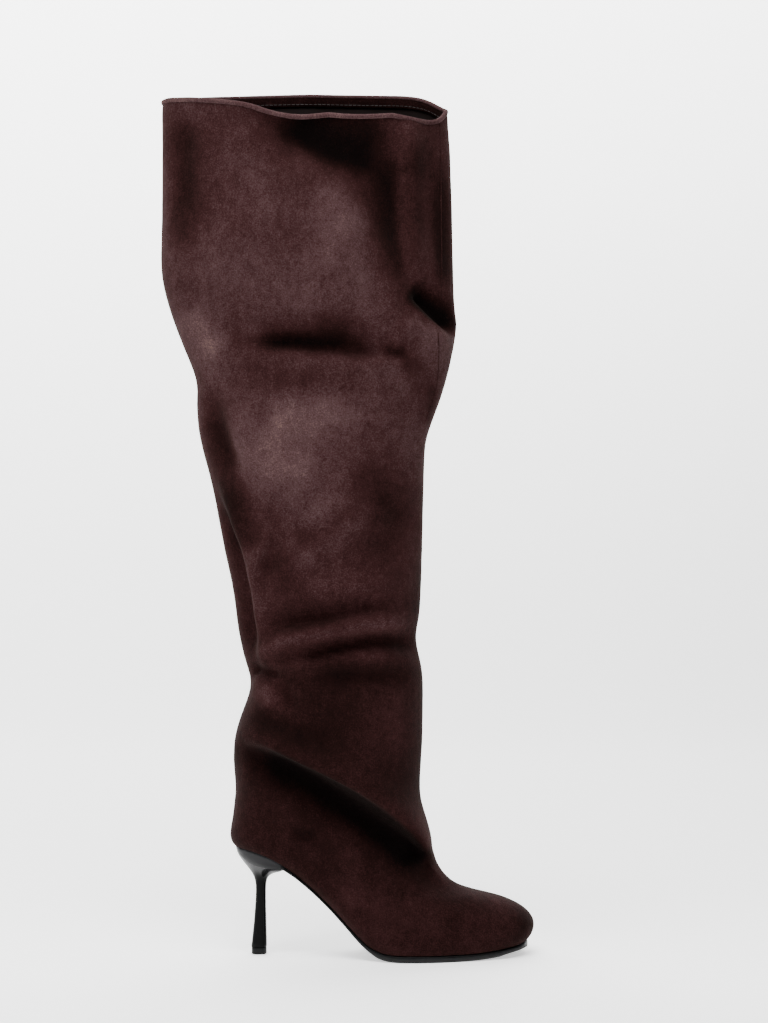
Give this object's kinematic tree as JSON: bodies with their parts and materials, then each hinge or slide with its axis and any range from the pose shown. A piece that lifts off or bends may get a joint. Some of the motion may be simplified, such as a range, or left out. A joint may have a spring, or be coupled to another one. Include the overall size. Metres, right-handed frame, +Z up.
{
  "type": "over-the-knee high-heeled boot",
  "caption": "Slouchy pull-on suede over-the-knee boot with a soft rounded toe, a slim flared heel and a thin sole.",
  "frame": {"origin": "middle of the heel's top piece, on the floor", "axes": "+X towards the toe, +Y towards the inner side of the foot, +Z up the shaft"},
  "size_m": [0.2817, 0.0839, 0.6546],
  "materials": {
    "suede": "brushed suede nap",
    "sock": "smooth",
    "sole": "semi-gloss edge",
    "heel": "polished",
    "top_piece": "matt"
  },
  "bodies": {
    "root": {"upper": "suede", "collar_facing": "suede", "insole": "sock", "outsole": "sole", "heel": "heel", "top_piece": "top_piece"}
  },
  "joints": []
}
